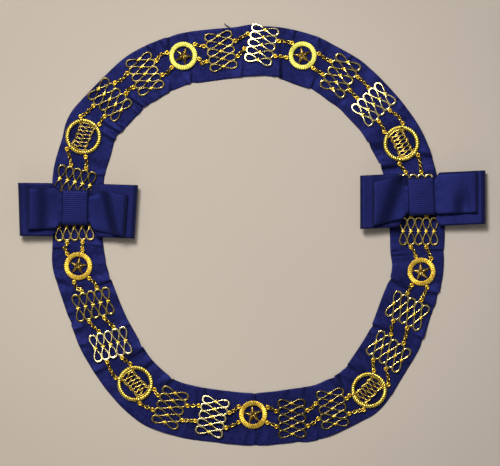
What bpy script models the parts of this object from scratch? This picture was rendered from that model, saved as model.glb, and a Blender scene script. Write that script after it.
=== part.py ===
"""Chain collar: a closed ribbon laid in a loop, a chain of pierced gilt plaques on it, and two double bows.

Units are metres; the tables are in millimetres and are scaled by MM.  +Z is up, +X is the wearer's left to
right as the collar lies, +Y is the end of the loop that goes behind the neck.  The ribbon's underside is z = 0
and the origin is the centre of the whole collar's footprint.
"""
import math
from collections import namedtuple

import bmesh
import bpy
from mathutils import Matrix, Vector

MM = 0.001

# ---- heights, from the surface that the collar lies on ----
GAP = 0.3 * MM                 # clearance between pieces that rest on each other
RIBBON_THICK = 1.4 * MM        # doubled ribbon with its backing
PLAQUE_BASE = 2.6 * MM         # underside of the plaques, clear of the creases under them
PLAQUE_THICK = 1.8 * MM
BOW_BASE = PLAQUE_BASE + PLAQUE_THICK + GAP

# ---- ribbon of the collar: centre-line and width, clockwise from the join at the top ----
Section = namedtuple("Section", "x y width")
RIBBON_SECTIONS = [Section(*row) for row in (
    (-3.5, 198.5, 54.5), (27.5, 197.0, 52.5), (58.0, 188.0, 55.5), (78.5, 178.0, 53.0),
    (98.5, 166.5, 55.5), (111.0, 157.0, 53.0), (122.0, 145.5, 55.0), (138.5, 127.0, 53.0),
    (153.0, 105.5, 56.0), (163.0, 86.5, 55.5), (168.5, 67.5, 56.5), (174.5, 36.0, 58.0),
    (177.0, 2.0, 59.0), (176.5, -16.0, 58.0), (177.0, -33.0, 56.0), (175.0, -53.0, 54.0),
    (165.0, -76.5, 57.0), (155.5, -104.0, 56.0), (145.5, -123.0, 57.0), (125.5, -155.5, 57.0),
    (115.0, -167.5, 58.0), (101.5, -176.0, 57.0), (78.0, -187.0, 57.0), (57.5, -192.0, 58.5),
    (49.0, -193.0, 56.0), (24.0, -196.0, 56.5), (-2.5, -197.5, 56.0), (-33.0, -195.0, 55.5),
    (-64.0, -191.0, 57.0), (-88.5, -184.0, 58.0), (-107.0, -175.0, 59.0), (-132.5, -150.5, 59.0),
    (-155.0, -115.0, 60.0), (-167.5, -88.0, 58.0), (-183.0, -44.0, 56.5), (-187.0, -27.0, 57.0),
    (-189.0, -1.5, 54.0), (-187.5, 29.0, 55.0), (-187.0, 64.0, 55.0), (-179.0, 98.0, 56.0),
    (-173.5, 113.5, 55.5), (-164.5, 126.5, 56.0), (-134.0, 158.0, 54.5), (-118.0, 170.5, 57.5),
    (-98.0, 181.0, 56.0), (-74.5, 189.5, 54.5), (-49.0, 193.5, 55.5),
)]
RIBBON_STEPS = 48              # plain cross-sections round the loop, besides two at each tuck
SAMPLES_PER_SECTION = 24       # fine samples that places along the ribbon are read from
RIBBON_LANES = (-1.0, -0.56, 0.56, 1.0)      # across the ribbon, from the outer edge to the inner

# ---- tucks that take up the ribbon's edges: a place near each, the edge it is at and its lift ----
INNER, OUTER = 1, -1
Tuck = namedtuple("Tuck", "x y side lift")
TUCKS = [Tuck(*row) for row in (
    (26.3, 177.2, INNER, 1.7), (61.8, 157.9, INNER, 2.0), (129.2, 103.8, INNER, 2.4),
    (139.2, 78.8, INNER, 1.8), (148.2, -46.2, INNER, 2.8), (130.2, -97.2, INNER, 2.4),
    (102.2, -140.2, INNER, 2.2), (87.6, -151.7, INNER, 2.6), (2.6, -170.5, INNER, 1.6),
    (-86.6, -155.0, INNER, 1.8), (-121.0, -121.6, INNER, 2.2), (-153.8, -48.2, INNER, 1.8),
    (-148.9, 107.3, INNER, 2.0), (-122.1, 140.7, INNER, 2.2), (-66.2, 164.3, INNER, 1.6),
    (202.6, -62.5, OUTER, 1.6), (-200.5, -98.2, OUTER, 1.6), (-92.0, 211.6, OUTER, 1.4),
)]
TUCK_FOOT = 1.6 * MM           # the steep side of a tuck, along the ribbon
TUCK_STEP = 1.3 * MM           # how far the ribbon's edge steps back at a tuck
TUCK_CLEAR = 8.0 * MM          # plain cross-sections keep this far from a tuck

# ---- the chain: plaques clockwise from the upper left, with the heading of travel in degrees ----
KNOT, STAR, ROUNDEL = "knot_panel", "star_medallion", "roundel"
Plaque = namedtuple("Plaque", "kind x y heading")
PLAQUES = [Plaque(*row) for row in (
    (STAR, -74.3, 192.2, 16.7), (KNOT, -33.9, 197.4, 9.8), (KNOT, 9.8, 204.7, -13.3),
    (STAR, 53.8, 192.5, -21.7), (KNOT, 94.3, 171.1, -30.0), (KNOT, 130.1, 140.2, -47.0),
    (ROUNDEL, 159.7, 98.2, -64.5), (KNOT, 173.0, 50.4, -90.0), (KNOT, 178.5, 3.9, -90.0),
    (STAR, 181.5, -39.6, -98.1), (KNOT, 166.3, -81.4, -116.9), (KNOT, 146.2, -125.3, -124.6),
    (ROUNDEL, 125.0, -166.8, -134.5), (KNOT, 86.0, -186.6, -170.5), (KNOT, 42.4, -197.1, -178.5),
    (STAR, 0.7, -193.0, 178.9), (KNOT, -42.9, -195.5, 167.3), (KNOT, -88.5, -185.6, 160.2),
    (ROUNDEL, -126.1, -159.7, 133.4), (KNOT, -152.5, -117.9, 105.4), (KNOT, -171.3, -74.8, 103.9),
    (STAR, -187.2, -33.5, 103.5), (KNOT, -191.4, 8.7, 92.0), (KNOT, -190.6, 56.9, 76.9),
    (ROUNDEL, -181.8, 105.6, 67.1), (KNOT, -153.3, 145.4, 46.8), (KNOT, -115.5, 172.9, 23.2),
)]

# ---- knot panel: five figure-eights side by side, cast in one piece ----
EIGHTS = 5
EIGHT_PITCH = 8.3 * MM
EIGHT_HALF_LENGTH = 15.25 * MM
LOOP_CENTRE = 10.4 * MM        # from the crossing to the widest place of a loop
LOOP_HALF_WIDTH = 4.6 * MM
WAIST_HALF_WIDTH = 1.6 * MM    # of a figure-eight at its crossing
LOOP_TIP_FLAT = 1.5 * MM       # half width of a loop's blunt tip
VALLEY = 3.6 * MM              # depth of the notches between neighbouring tips
WIRE = 1.5 * MM
SLOT_WAIST = 0.7 * MM          # half width of the opening at the crossing

# ---- star medallion ----
STAR_RING_OUTER = 15.3 * MM
STAR_RING_INNER = 9.9 * MM
STAR_RING_BEVEL = 0.6 * MM
STAR_RING_SIDES = 16
STAR_POINTS = 5
STAR_WAIST_RATIO = 0.40        # inner corners against points
STAR_EDGE = 0.6 * MM           # thickness of the star at its points
STAR_CROWN = 0.9 * MM          # the middle of the star above its points
INSET = 0.2 * MM               # what fills a ring starts this far above the ring's underside
STAR_BITE = 0.8 * MM           # the star's points inside the ring

# ---- roundel: corded ring and a generic band of scrollwork across it, along the chain ----
ROUNDEL_OUTER = 19.5 * MM
ROUNDEL_CORD = 1.55 * MM       # radius of the ring's section
ROUNDEL_SIDES = 20
SCROLL_HALF_WIDTH = 9.0 * MM
SCROLL_REACH = ROUNDEL_OUTER - 1.4 * ROUNDEL_CORD
# one edge of the scrollwork, as shares of its reach and of its half width
SCROLL_EDGE = ((1.0, -0.3), (1.0, 0.3), (0.86, 0.98), (0.43, 0.86), (0.0, 1.0), (-0.43, 0.86), (-0.86, 0.98))
SCROLL_THICK = 1.4 * MM

# ---- short double chains between plaques ----
CHAIN_RADIUS = 1.2 * MM
CHAIN_SIDES = 5
CHAIN_END_GAP = 1.5 * MM
EYELETS = {                    # along and across the plaque from its centre, and back to inside its metal
    KNOT: (EIGHT_HALF_LENGTH, EIGHT_PITCH, 1.3 * MM),
    STAR: (14.4 * MM, 8.0 * MM, 2.6 * MM),
    ROUNDEL: (18.4 * MM, 9.9 * MM, 2.8 * MM),
}

# ---- bows: two closed loops of ribbon, one on the other, held by a wrap; x and y are the wrap's centre ----
BOWS = (
    dict(name="left_bow", x=-190.8, y=28.8, tilt=-0.6, wrap_length=27.0, wrap_width=35.5,
         back=dict(left=60.8, right=68.3, width=57.0, tilt=-0.4, drop=-2.4),
         front=dict(left=49.5, right=57.0, width=42.5, tilt=-4.0, drop=-2.6)),
    dict(name="right_bow", x=181.2, y=41.8, tilt=3.0, wrap_length=28.5, wrap_width=37.0,
         back=dict(left=65.3, right=69.1, width=56.8, tilt=-0.5, drop=-3.8),
         front=dict(left=52.0, right=59.8, width=41.5, tilt=3.4, drop=-1.4)),
)
BOW_THICK = 1.2 * MM
BOW_LAYER = BOW_THICK + GAP    # from one layer of a pinched bow to the next
WRAP_CORNER = 2.0 * MM         # the wrap's rounded corners, clear of the pinched layers
PINCH_END = 1.0 * MM           # a loop starts to spread this far outside the wrap
PLEAT = 0.7 * MM               # depth of the pleats where a loop is gathered
BOW_LANES = (-1.0, -0.5, 0.0, 0.5, 1.0)
GATHER = 12.5                  # length over which a loop spreads from the wrap to its full width
# side view of one half of a loop: from the wrap's edge or back from the fold, and up from the pinch
LoopPoint = namedtuple("LoopPoint", "measured_from along back front")
LOOP_PROFILE = [LoopPoint(*row) for row in (
    ("wrap", 0.0, 0.0, 0.0),
    ("wrap", GATHER, -0.8, 3.7),
    ("fold", 8.0, -0.8, 4.8),
    ("fold", 1.8, 0.6, 6.2),
    ("fold", 0.0, 3.2, 8.6),
    ("fold", 1.6, 6.0, 10.8),
    ("fold", 7.0, 7.0, 11.6),
    ("fold", 20.0, 5.4, 10.0),
    ("wrap", GATHER, 4.5, 8.8),
    ("wrap", 1.0, 1.5, 1.5),
)]

RIBBON_BLUE = (0.013, 0.014, 0.127, 1.0)
BOW_BLUE = (0.012, 0.013, 0.110, 1.0)
GILT = (0.80, 0.50, 0.08, 1.0)


# ---------------------------------------------------------------- scene helpers
def clear_scene():
    for obj in list(bpy.data.objects):
        bpy.data.objects.remove(obj, do_unlink=True)


def collection(name):
    made = bpy.data.collections.new(name)
    bpy.context.scene.collection.children.link(made)
    return made


def material(name, colour, roughness, metallic):
    made = bpy.data.materials.new(name)
    made.use_nodes = True
    shader = made.node_tree.nodes["Principled BSDF"]
    shader.inputs["Base Color"].default_value = colour
    shader.inputs["Roughness"].default_value = roughness
    shader.inputs["Metallic"].default_value = metallic
    return made


def new_object(name, bm, home):
    bmesh.ops.recalc_face_normals(bm, faces=bm.faces)
    mesh = bpy.data.meshes.new(name)
    bm.to_mesh(mesh)
    bm.free()
    obj = bpy.data.objects.new(name, mesh)
    home.objects.link(obj)
    return obj


def mesh_object(name, bm, home, finish):
    obj = new_object(name, bm, home)
    obj.data.materials.append(finish)
    return obj


def tool_object(name, bm, home):
    """A hidden solid that a Boolean joins to a piece."""
    obj = new_object(name, bm, home)
    obj.hide_render = True
    obj.display_type = "WIRE"
    return obj


def union(obj, tool):
    joined = obj.modifiers.new("join", "BOOLEAN")
    joined.operation = "UNION"
    joined.object = tool


def add_cloth_wall(obj, thickness):
    wall = obj.modifiers.new("cloth", "SOLIDIFY")
    wall.thickness = thickness
    wall.offset = 0.0


def loop_grid(rows, closed):
    """A surface through rows of points; closed joins the last row to the first."""
    bm = bmesh.new()
    grid = [[bm.verts.new(point) for point in row] for row in rows]
    count = len(grid)
    for i in range(count if closed else count - 1):
        here, after = grid[i], grid[(i + 1) % count]
        for j in range(len(here) - 1):
            bm.faces.new((here[j], here[j + 1], after[j + 1], after[j]))
    return bm


# ---------------------------------------------------------------- ribbon
def closed_spline(points, steps):
    """Catmull-Rom curve round a closed list of vectors."""
    count = len(points)
    curve = []
    for i in range(count):
        a, b, c, d = (points[(i + k - 1) % count] for k in range(4))
        for k in range(steps):
            t = k / steps
            curve.append(0.5 * (2 * b + (c - a) * t + (2 * a - 5 * b + 4 * c - d) * t * t
                                + (3 * b - a - 3 * c + d) * t ** 3))
    return curve


def ribbon_frame():
    """Fine samples of the ribbon, each (x, y, half width), and the running length at each."""
    rows = [Vector((row.x, row.y, 0.5 * row.width)) * MM for row in RIBBON_SECTIONS]
    samples = closed_spline(rows, SAMPLES_PER_SECTION)
    lengths = [0.0]
    for before, after in zip(samples, samples[1:] + samples[:1]):
        lengths.append(lengths[-1] + (after.xy - before.xy).length)
    return samples, lengths


def ribbon_at(samples, lengths, distance):
    """Centre, inward direction and half width at a running length."""
    total = lengths[-1]
    distance %= total
    count = len(samples)
    low = max(i for i in range(count) if lengths[i] <= distance)
    share = (distance - lengths[low]) / (lengths[low + 1] - lengths[low])
    here, after = samples[low], samples[(low + 1) % count]
    spot = here.lerp(after, share)
    along = (samples[(low + 3) % count].xy - samples[low - 2].xy).normalized()
    return spot.xy, Vector((along.y, -along.x)), spot.z


def tuck_places(samples, lengths):
    places = []
    for tuck in TUCKS:
        target = Vector((tuck.x * MM, tuck.y * MM))
        nearest = min(range(len(samples)), key=lambda i: (samples[i].xy - target).length)
        places.append((lengths[nearest], tuck.side, tuck.lift * MM))
    return places


def ribbon_row(samples, lengths, distance, lift, side, step_back):
    """One cross-section; the lift and the step back are at the edge on the given side."""
    centre, inward, half = ribbon_at(samples, lengths, distance)
    row = []
    for lane in RIBBON_LANES:
        on_side = lane == side
        reach = half * lane - (step_back * side if on_side else 0.0)
        height = 0.5 * RIBBON_THICK + (lift if on_side else 0.0)
        place = centre + inward * reach
        row.append((place.x, place.y, height))
    return row


def make_ribbon(home, finish):
    samples, lengths = ribbon_frame()
    total = lengths[-1]
    rows = {}
    tucks = tuck_places(samples, lengths)
    for k in range(RIBBON_STEPS):
        distance = total * k / RIBBON_STEPS
        near = min(abs((distance - place + total / 2) % total - total / 2) for place, _, _ in tucks)
        if near > TUCK_CLEAR:
            rows[distance] = ribbon_row(samples, lengths, distance, 0.0, INNER, 0.0)
    for place, side, lift in tucks:
        rows[place] = ribbon_row(samples, lengths, place, lift, side, 0.0)
        foot = (place + TUCK_FOOT) % total
        rows[foot] = ribbon_row(samples, lengths, foot, 0.0, side, TUCK_STEP)
    bm = loop_grid([rows[key] for key in sorted(rows)], closed=True)
    add_cloth_wall(mesh_object("collar_ribbon", bm, home, finish), RIBBON_THICK)


# ---------------------------------------------------------------- plaques
def place_matrix(x, y, heading):
    return Matrix.Translation((x * MM, y * MM, 0.0)) @ Matrix.Rotation(math.radians(heading), 4, "Z")


def panel_outline():
    """Scalloped outline of a knot panel, anticlockwise."""
    tip = EIGHT_HALF_LENGTH
    valley = tip - VALLEY
    end = []
    for k in range(EIGHTS):
        middle = (k - (EIGHTS - 1) / 2) * EIGHT_PITCH
        end += [(tip, middle - LOOP_TIP_FLAT), (tip, middle + LOOP_TIP_FLAT)]
        if k < EIGHTS - 1:
            end.append((valley, middle + 0.5 * EIGHT_PITCH))
    edge = (EIGHTS - 1) / 2 * EIGHT_PITCH
    side = [(LOOP_CENTRE, edge + LOOP_HALF_WIDTH), (0.0, edge + WAIST_HALF_WIDTH),
            (-LOOP_CENTRE, edge + LOOP_HALF_WIDTH)]
    half = end + side
    return half + [(-x, -y) for x, y in half]


def panel_slots():
    """The opening of each figure-eight: two tear-drops meeting in a narrow waist."""
    tip = EIGHT_HALF_LENGTH - WIRE
    wide = LOOP_HALF_WIDTH - WIRE
    slots = []
    for k in range(EIGHTS):
        middle = (k - (EIGHTS - 1) / 2) * EIGHT_PITCH
        half = [(tip, 0.0), (LOOP_CENTRE, wide), (0.0, SLOT_WAIST), (-LOOP_CENTRE, wide)]
        slots.append([(x, middle + y) for x, y in half] + [(-x, middle - y) for x, y in half])
    return slots


def flat_plate(name, loops, thickness, base):
    """Outline and openings filled and thickened; base is the height of its underside."""
    curve = bpy.data.curves.new(name, "CURVE")
    curve.dimensions = "2D"
    curve.fill_mode = "BOTH"
    curve.extrude = 0.5 * thickness
    for loop in loops:
        spline = curve.splines.new("POLY")
        spline.points.add(len(loop) - 1)
        spline.use_cyclic_u = True
        for point, (x, y) in zip(spline.points, loop):
            point.co = (x, y, 0.0, 1.0)
    flat = bpy.data.objects.new(name, curve)
    bpy.context.scene.collection.objects.link(flat)
    bpy.context.view_layer.update()
    evaluated = flat.evaluated_get(bpy.context.evaluated_depsgraph_get())
    mesh = bpy.data.meshes.new_from_object(evaluated)
    bpy.data.objects.remove(flat)
    bm = bmesh.new()
    bm.from_mesh(mesh)
    bmesh.ops.remove_doubles(bm, verts=bm.verts, dist=0.01 * MM)
    bmesh.ops.translate(bm, verts=bm.verts, vec=(0.0, 0.0, base + 0.5 * thickness))
    return bm


def turned_ring(profile, sides):
    """A ring turned about Z from a closed profile of (radius, height)."""
    rows = []
    for k in range(sides):
        turn = 2 * math.pi * k / sides
        rows.append([(r * math.cos(turn), r * math.sin(turn), z) for r, z in profile + profile[:1]])
    bm = loop_grid(rows, closed=True)
    bmesh.ops.remove_doubles(bm, verts=bm.verts, dist=0.001 * MM)
    return bm


def knot_panel():
    return flat_plate("panel", [panel_outline()] + panel_slots(), PLAQUE_THICK, PLAQUE_BASE)


def star_ring():
    top = PLAQUE_BASE + PLAQUE_THICK
    profile = [(STAR_RING_OUTER, PLAQUE_BASE), (STAR_RING_OUTER, top - STAR_RING_BEVEL),
               (STAR_RING_OUTER - 2 * STAR_RING_BEVEL, top), (STAR_RING_INNER, top - STAR_RING_BEVEL),
               (STAR_RING_INNER, PLAQUE_BASE)]
    return turned_ring(profile, STAR_RING_SIDES)


def faceted_star():
    """Five-pointed star with a raised middle; its points end inside the ring."""
    reach = STAR_RING_INNER + STAR_BITE
    low = PLAQUE_BASE + INSET
    edge = low + STAR_EDGE
    bm = bmesh.new()
    rim = []
    for k in range(2 * STAR_POINTS):
        turn = math.pi * k / STAR_POINTS
        radius = reach if k % 2 == 0 else reach * STAR_WAIST_RATIO
        rim.append((radius * math.cos(turn), radius * math.sin(turn)))
    under = [bm.verts.new((x, y, low)) for x, y in rim]
    over = [bm.verts.new((x, y, edge)) for x, y in rim]
    crown = bm.verts.new((0.0, 0.0, edge + STAR_CROWN))
    bm.faces.new(list(reversed(under)))
    for k, vert in enumerate(over):
        after = (k + 1) % len(over)
        bm.faces.new((under[k], under[after], over[after], vert))
        bm.faces.new((vert, over[after], crown))
    return bm


def roundel_ring():
    middle = ROUNDEL_OUTER - ROUNDEL_CORD
    shoulder = PLAQUE_BASE + 0.6 * PLAQUE_THICK
    top = PLAQUE_BASE + PLAQUE_THICK
    profile = [(middle + ROUNDEL_CORD, PLAQUE_BASE), (middle + ROUNDEL_CORD, shoulder), (middle, top),
               (middle - ROUNDEL_CORD, shoulder), (middle - ROUNDEL_CORD, PLAQUE_BASE)]
    return turned_ring(profile, ROUNDEL_SIDES)


def scroll_band():
    """Flat scrollwork across the roundel, with scalloped edges and its corners in the ring."""
    outline = [(x * SCROLL_REACH, y * SCROLL_HALF_WIDTH) for x, y in SCROLL_EDGE]
    outline += [(-x, -y) for x, y in outline]
    return flat_plate("scroll", [outline], SCROLL_THICK, PLAQUE_BASE + INSET)


def chain_run(start, finish):
    """A plain five-sided tube between two points at the chains' height."""
    along = finish - start
    turn = along.to_track_quat("Z", "Y").to_matrix().to_4x4()
    bm = bmesh.new()
    bmesh.ops.create_cone(bm, cap_ends=True, segments=CHAIN_SIDES, radius1=CHAIN_RADIUS,
                          radius2=CHAIN_RADIUS, depth=along.length)
    bm.transform(Matrix.Translation((start + finish) / 2) @ turn)
    return bm


def chain_pair(index):
    """The two chains that leave a plaque for the next one round the loop."""
    plaque = PLAQUES[index]
    after = PLAQUES[(index + 1) % len(PLAQUES)]
    here = place_matrix(plaque.x, plaque.y, plaque.heading)
    there = place_matrix(after.x, after.y, after.heading)
    level = PLAQUE_BASE + PLAQUE_THICK - CHAIN_RADIUS
    pair = bmesh.new()
    for side in (-1, 1):
        out_along, out_across, root = EYELETS[plaque.kind]
        in_along, in_across, _ = EYELETS[after.kind]
        start = here @ Vector((out_along, side * out_across, level))
        finish = there @ Vector((-in_along, side * in_across, level))
        way = (finish - start).normalized()
        run = chain_run(start - way * root, finish - way * CHAIN_END_GAP)
        mesh = bpy.data.meshes.new("chain_run")
        run.to_mesh(mesh)
        run.free()
        pair.from_mesh(mesh)
        bpy.data.meshes.remove(mesh)
    return pair


def make_plaques(home, tools, finish):
    counts = {KNOT: 0, STAR: 0, ROUNDEL: 0}
    bodies = {KNOT: knot_panel, STAR: star_ring, ROUNDEL: roundel_ring}
    fillings = {STAR: faceted_star, ROUNDEL: scroll_band}
    for index, plaque in enumerate(PLAQUES):
        counts[plaque.kind] += 1
        name = f"{plaque.kind}_{counts[plaque.kind]:02d}"
        spot = place_matrix(plaque.x, plaque.y, plaque.heading)
        body = mesh_object(name, bodies[plaque.kind](), home, finish)
        body.matrix_world = spot
        if plaque.kind in fillings:
            filling = tool_object(f"{name}_filling", fillings[plaque.kind](), tools)
            filling.matrix_world = spot
            union(body, filling)
        union(body, tool_object(f"{name}_chains", chain_pair(index), tools))


# ---------------------------------------------------------------- bows
def loop_side(half_wrap, reach, which):
    """One side of a loop in side view, from its underside at the wrap round the fold to its top."""
    fold = reach * MM - 0.5 * BOW_THICK
    points = []
    for point in LOOP_PROFILE:
        from_wrap = point.measured_from == "wrap"
        x = half_wrap + point.along * MM if from_wrap else fold - point.along * MM
        points.append((x, getattr(point, which) * MM))
    return points


def bow_loop(which, spot, bow, floor, home, finish):
    """A closed loop of ribbon pinched in the middle; the wrap's centre is its origin."""
    loop = bow[which]
    half_wrap = 0.5 * bow["wrap_length"] * MM
    right = loop_side(half_wrap, loop["right"], which)
    left = [(-x, z) for x, z in loop_side(half_wrap, loop["left"], which)]
    path = right + list(reversed(left))
    pinch = 0.5 * bow["wrap_width"] * MM - BOW_THICK - WRAP_CORNER
    full = 0.5 * loop["width"] * MM
    slope = math.tan(math.radians(loop["tilt"]))
    rows = []
    for x, z in path:
        spread = min(1.0, max(0.0, (abs(x) - half_wrap - PINCH_END) / (GATHER * MM - PINCH_END)))
        middle = spread * (loop["drop"] * MM + slope * x)
        half_width = pinch + (full - pinch) * spread
        pleat = PLEAT if 0.99 < spread and abs(x) < half_wrap + (GATHER + 1) * MM else 0.0
        rows.append([(x, middle + lane * half_width, floor + z + (pleat if i % 2 else 0.0))
                     for i, lane in enumerate(BOW_LANES)])
    made = mesh_object(f"{bow['name']}_{which}_loop", loop_grid(rows, closed=True), home, finish)
    made.matrix_world = spot
    add_cloth_wall(made, BOW_THICK)


def bow_wrap(name, spot, bow, bottom, top, home, finish):
    """The band round the middle of a bow, closed under it."""
    side = 0.5 * (bow["wrap_width"] * MM - BOW_THICK)
    soft = WRAP_CORNER
    low, high = bottom + 0.5 * BOW_THICK, top - 0.5 * BOW_THICK
    right = [(side - soft, low), (side, low + 0.5 * soft), (side, high - soft), (side - soft, high)]
    path = right + [(-y, z) for y, z in reversed(right)]
    half = 0.5 * bow["wrap_length"] * MM
    band = mesh_object(name, loop_grid([[(-half, y, z), (half, y, z)] for y, z in path], closed=True),
                       home, finish)
    band.matrix_world = spot
    add_cloth_wall(band, BOW_THICK)


def make_bow(bow, home, finish):
    spot = place_matrix(bow["x"], bow["y"], bow["tilt"])
    back_floor = BOW_BASE + BOW_LAYER + 0.5 * BOW_THICK
    front_floor = back_floor + 2 * BOW_LAYER
    top = front_floor + 2 * BOW_LAYER + 0.5 * BOW_THICK
    bow_loop("back", spot, bow, back_floor, home, finish)
    bow_loop("front", spot, bow, front_floor, home, finish)
    bow_wrap(bow["name"] + "_wrap", spot, bow, BOW_BASE, top, home, finish)


def main():
    clear_scene()
    home = collection("chain_collar")
    tools = collection("joining_tools")
    ribbon_cloth = material("ribbon_cloth", RIBBON_BLUE, 0.55, 0.0)
    bow_cloth = material("bow_cloth", BOW_BLUE, 0.6, 0.0)
    gilt = material("gilt", GILT, 0.25, 1.0)
    make_ribbon(home, ribbon_cloth)
    make_plaques(home, tools, gilt)
    for bow in BOWS:
        make_bow(bow, home, bow_cloth)


main()
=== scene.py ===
"""Looks of the chain collar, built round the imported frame.

Tables are in millimetres and are scaled by MM; everything else is in metres, in the frame's own axes:
+Z up, +Y towards the end of the loop behind the neck, z = 0 on the surface that the collar lies on.
"""
import math
from collections import namedtuple

import bpy
import numpy as np
from mathutils import Matrix


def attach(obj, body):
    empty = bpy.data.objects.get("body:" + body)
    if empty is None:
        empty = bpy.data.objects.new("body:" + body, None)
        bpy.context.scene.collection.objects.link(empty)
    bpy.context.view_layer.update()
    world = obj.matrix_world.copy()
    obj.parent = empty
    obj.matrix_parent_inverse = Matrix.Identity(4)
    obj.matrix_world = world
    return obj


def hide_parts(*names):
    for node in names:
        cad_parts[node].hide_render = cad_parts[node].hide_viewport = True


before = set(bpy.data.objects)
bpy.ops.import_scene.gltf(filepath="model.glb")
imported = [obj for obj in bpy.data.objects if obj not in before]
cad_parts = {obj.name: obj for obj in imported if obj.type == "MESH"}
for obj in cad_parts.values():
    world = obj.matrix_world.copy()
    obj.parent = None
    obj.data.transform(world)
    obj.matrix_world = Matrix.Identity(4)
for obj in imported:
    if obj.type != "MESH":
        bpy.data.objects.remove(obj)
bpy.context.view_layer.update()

MM = 0.001
RNG = np.random.default_rng(11)

# ------ sizes shared with the solids
RIBBON_THICK = 1.4 * MM
PLAQUE_BASE = 2.6 * MM
PLAQUE_THICK = 1.8 * MM

# the ribbon's middle, and its width there
RIBBON_SECTIONS = (
    (-3.5, 197.2, 53.6), (27.5, 196.2, 53.8), (57.8, 187.3, 56.5), (78.8, 178.4, 53.6),
    (98.3, 166.2, 55.6), (110.9, 156.3, 54.4), (122.2, 145, 54.8), (138.5, 127, 54.6),
    (152.8, 105.4, 56.9), (162.6, 86.3, 56.4), (168.5, 67.5, 56), (174.5, 36, 58), (177, 2, 59),
    (176.8, -16, 57.6), (177.7, -33, 55.6), (174.6, -52.8, 55.5), (165.6, -76.8, 56.5),
    (156, -104.2, 57.4), (146.2, -123.5, 56.5), (125.7, -155.7, 58), (115.4, -168, 58.8),
    (101.7, -176.3, 57), (78.2, -187.6, 57), (57.8, -193.1, 59.4), (49.1, -193.5, 57.6),
    (24, -196.8, 57.2), (-2.5, -198.3, 56.8), (-33, -195.5, 56.6), (-64, -191.2, 57.4),
    (-88.7, -184.5, 57.2), (-107, -175.2, 59.3), (-132.5, -150.4, 58.6), (-155, -115, 60),
    (-167.3, -87.9, 58), (-183, -44, 56.5), (-186.8, -27, 57.5), (-187.9, -1.5, 53.4), (-187.5, 29, 55),
    (-186.8, 64, 55.5), (-177.7, 97.2, 55.4), (-173.2, 113.3, 56), (-163.9, 126, 55.3),
    (-133.3, 157.3, 55.1), (-117.5, 169.5, 57.2), (-97.7, 180.3, 56.3), (-74.2, 188.8, 55.4),
    (-48.8, 192.6, 55.9),
)

KNOT, STAR, ROUNDEL = "knot_panel", "star_medallion", "roundel"
# pitch and roll tip a plaque along and across the chain, in degrees
Plaque = namedtuple("Plaque", "kind x y heading pitch roll")
PLAQUES = [Plaque(*row) for row in (
    (STAR, -74.3, 192.2, 16.7, -1.4, -1.8), (KNOT, -33.9, 197.4, 9.8, -0.4, 0.6),
    (KNOT, 9.8, 204, -13.3, 1.4, -2.6), (STAR, 53.8, 192.5, -21.7, -0.3, -2.2),
    (KNOT, 94.3, 171.1, -30, 0.5, 0.5), (KNOT, 130.1, 140.2, -47, -0.3, -1),
    (ROUNDEL, 159.7, 98.2, -64.5, 0.3, 0.2), (KNOT, 173, 50.4, -90, -0.4, 0.6),
    (KNOT, 178.5, 3.9, -90, 0.7, 0.5), (STAR, 181.5, -39.6, -98.1, 0.2, -0.5),
    (KNOT, 166.3, -81.4, -116.9, -0.5, 0.4), (KNOT, 146.2, -125.3, -124.6, 0.4, 0.9),
    (ROUNDEL, 125, -166.8, -134.5, -0.3, 0.4), (KNOT, 86, -186.6, -170.5, 0.8, 0.3),
    (KNOT, 42.4, -197.1, -178.5, -0.6, -1.6), (STAR, 0.7, -193, 178.9, 0.6, -1.8),
    (KNOT, -42.9, -195.5, 167.3, 2.8, 2.8), (KNOT, -88.5, -185.6, 160.2, -0.7, -0.3),
    (ROUNDEL, -126.1, -159.7, 133.4, 0.3, -0.4), (KNOT, -152.5, -117.9, 105.4, 2.9, 0.1),
    (KNOT, -171.3, -74.8, 103.9, -0.4, -0.5), (STAR, -187.2, -33.5, 103.5, -0.3, 0.4),
    (KNOT, -191.4, 8.7, 92, 0.6, -0.4), (KNOT, -190.6, 56.9, 76.9, -0.5, 0.3),
    (ROUNDEL, -181.8, 105.6, 67.1, 0.2, -0.3), (KNOT, -153.3, 145.4, 46.8, -0.6, 0.4),
    (KNOT, -115.5, 172.9, 23.2, -0.4, 0.5),
)]

# ------ ribbon of the collar
RIB_PITCH = 1.9 * MM  # one cross rib of the grosgrain
RIB_DEPTH = 0.1 * MM
ROWS_PER_RIB = 4
EDGE_LANES = (1, 0.988, 0.962, 0.925)
INNER_LANES = 15
UNDER_LANES = 5
PRESSED_LIFT = 0.8 * MM  # how far cloth may rise under the chain
DIP = 0.75 * MM  # and sink anywhere
TROUGH = 0.45  # depth of the trough behind a fold's lip, as a share of its height
FREE_LIFT = 2.6 * MM  # how much more it may rise beside the chain
EDGE_LIFT = 3.2 * MM  # and near the ribbon's edges
SMALL_CREASES = 44
AWAY_FROM_LIGHT = (0.45, -0.9)  # the folds' steep sides look this way
KNOT_REACH = (16 * MM, 21.5 * MM)  # a panel's half size, along and across the chain
RING_REACH = {STAR: 16 * MM, ROUNDEL: 20 * MM}
SHADING = {KNOT: 0.75, STAR: 0.75, ROUNDEL: 1.5}  # how strongly painted shade darkens the cloth under a plaque
# painted shade along the chains
CHAIN_SHADING = 0.5
# billows: how many go round the loop, and their height
BILLOWS = ((7, 0.3), (13, 0.36), (22, 0.36), (37, 0.3), (59, 0.2), (83, 0.08))
LAP = (-12, 28)  # the ribbon's ends lap between these x, at the back of the neck
LAP_LIFT = 0.7 * MM
# a loose thread where they lap
LOOSE_THREAD = ((-24.5, 222.6, 1.2), (-26.5, 224.2, 1.6), (-28.6, 225.2, 2.2), (-30.2, 227.2, 2))

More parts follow.
